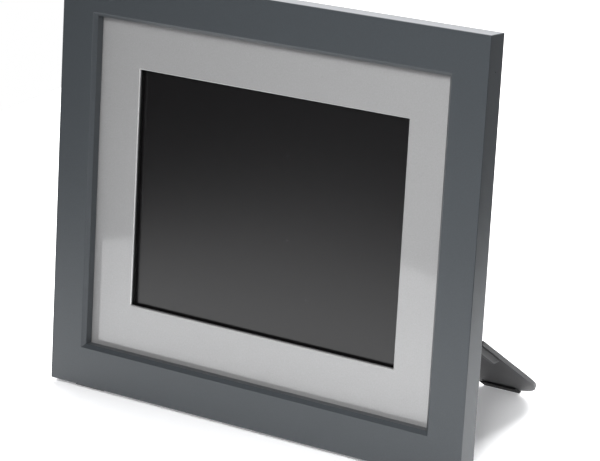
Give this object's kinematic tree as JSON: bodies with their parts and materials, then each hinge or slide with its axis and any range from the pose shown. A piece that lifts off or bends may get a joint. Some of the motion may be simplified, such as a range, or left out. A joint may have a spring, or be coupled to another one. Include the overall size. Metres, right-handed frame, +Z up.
{
  "type": "digital photo frame",
  "caption": "Free-standing digital picture frame with a metal surround, a silver mat, a display, a rear housing and a fold-out leg.",
  "frame": {"origin": "middle of the footprint on the table (bottom centre of the bounding box)", "axes": "+X to the viewer's right, the picture looks towards -Y and leans back, +Z up"},
  "size_m": [0.254, 0.1188, 0.2193],
  "materials": {
    "frame_metal": "satin blue-grey metallic coat on a one-piece metal frame, crisp light edges",
    "mat_silver": "silver sheet with a fine grain under a thin clear gloss coat",
    "black_foam": "closed-cell black foam",
    "plated_steel": "bright plated steel",
    "zinc_plate": "dull zinc-plated pressed steel",
    "display_surface": "anti-glare display surface, dark and matt when switched off",
    "diffuser_plastic": "white diffusing sheet and clear acrylic",
    "lamp_glass": "thin white-coated glass tube",
    "circuit_board": "green circuit board laminate",
    "black_moulding": "black moulded plastic",
    "copper": "copper foil and winding",
    "cover_plastic": "charcoal moulded plastic with a fine spark-eroded texture",
    "leg_plastic": "charcoal moulded plastic, slightly smoother than the cover",
    "key_plastic": "grey moulded keys",
    "rubber": "black soft rubber"
  },
  "bodies": {
    "body": {"front_frame": "frame_metal", "mat_plate": "mat_silver", "lcd_gasket": "black_foam", "lcd_bezel": "plated_steel", "lcd_glass": "display_surface", "optical_sheets": "diffuser_plastic", "light_guide": "diffuser_plastic", "backlight_lamp": "lamp_glass", "lamp_reflector": "plated_steel", "lcd_tray": "plated_steel", "lcd_clamp_left": "zinc_plate", "lcd_clamp_right": "zinc_plate", "clamp_screw_low_left": "plated_steel", "clamp_screw_low_right": "plated_steel", "clamp_screw_top_left": "plated_steel", "clamp_screw_top_right": "plated_steel", "lcd_ribbon_cable": "copper", "main_board": "circuit_board", "processor_chip": "black_moulding", "memory_chip": "black_moulding", "flash_chip": "black_moulding", "capacitor": "plated_steel", "coin_cell": "plated_steel", "board_screw_low": "plated_steel", "board_screw_top": "plated_steel", "card_socket": "plated_steel", "usb_socket": "plated_steel", "dc_jack": "black_moulding", "power_switch_case": "black_moulding", "inverter_board": "circuit_board", "inverter_transformer": "copper", "speaker_left": "zinc_plate", "speaker_right": "zinc_plate", "key_board": "circuit_board", "key_switch_power": "black_moulding", "key_switch_menu": "black_moulding", "key_switch_previous": "black_moulding", "key_switch_next": "black_moulding", "key_switch_enter": "black_moulding", "rear_cover": "cover_plastic", "cover_screw_low_left": "plated_steel", "cover_screw_low_right": "plated_steel", "cover_screw_top_left": "plated_steel", "cover_screw_top_right": "plated_steel", "hanger_plate_left": "plated_steel", "hanger_plate_right": "plated_steel", "hinge_bracket": "zinc_plate", "hinge_pin": "plated_steel", "hinge_screw_left": "plated_steel", "hinge_screw_right": "plated_steel", "foot_left": "rubber", "foot_right": "rubber"},
    "leg": {"leg": "leg_plastic", "leg_pad": "rubber"},
    "key_power": {"button_power": "key_plastic"},
    "key_menu": {"button_menu": "key_plastic"},
    "key_previous": {"button_previous": "key_plastic"},
    "key_next": {"button_next": "key_plastic"},
    "key_enter": {"button_enter": "key_plastic"},
    "power_slide": {"power_switch_knob": "key_plastic"}
  },
  "joints": [
    {"name": "leg_hinge", "type": "hinge", "parent": "body", "child": "leg", "pos_m": [0.082, -0.01556, 0.05967], "axis": [1, 0, 0], "range_deg": [0, 120.6]},
    {"name": "power_press", "type": "slide", "parent": "body", "child": "key_power", "axis": [0, -0.9903, 0.1392], "range_m": [0, 0.0006], "stiffness_N_per_m": 1500, "springref_m": -0.0004},
    {"name": "menu_press", "type": "slide", "parent": "body", "child": "key_menu", "axis": [0, -0.9903, 0.1392], "range_m": [0, 0.0006], "stiffness_N_per_m": 1500, "springref_m": -0.0004},
    {"name": "previous_press", "type": "slide", "parent": "body", "child": "key_previous", "axis": [0, -0.9903, 0.1392], "range_m": [0, 0.0006], "stiffness_N_per_m": 1500, "springref_m": -0.0004},
    {"name": "next_press", "type": "slide", "parent": "body", "child": "key_next", "axis": [0, -0.9903, 0.1392], "range_m": [0, 0.0006], "stiffness_N_per_m": 1500, "springref_m": -0.0004},
    {"name": "enter_press", "type": "slide", "parent": "body", "child": "key_enter", "axis": [0, -0.9903, 0.1392], "range_m": [0, 0.0006], "stiffness_N_per_m": 1500, "springref_m": -0.0004},
    {"name": "power_switch", "type": "slide", "parent": "body", "child": "power_slide", "axis": [0, 0.1392, 0.9903], "range_m": [0, 0.003]}
  ]
}
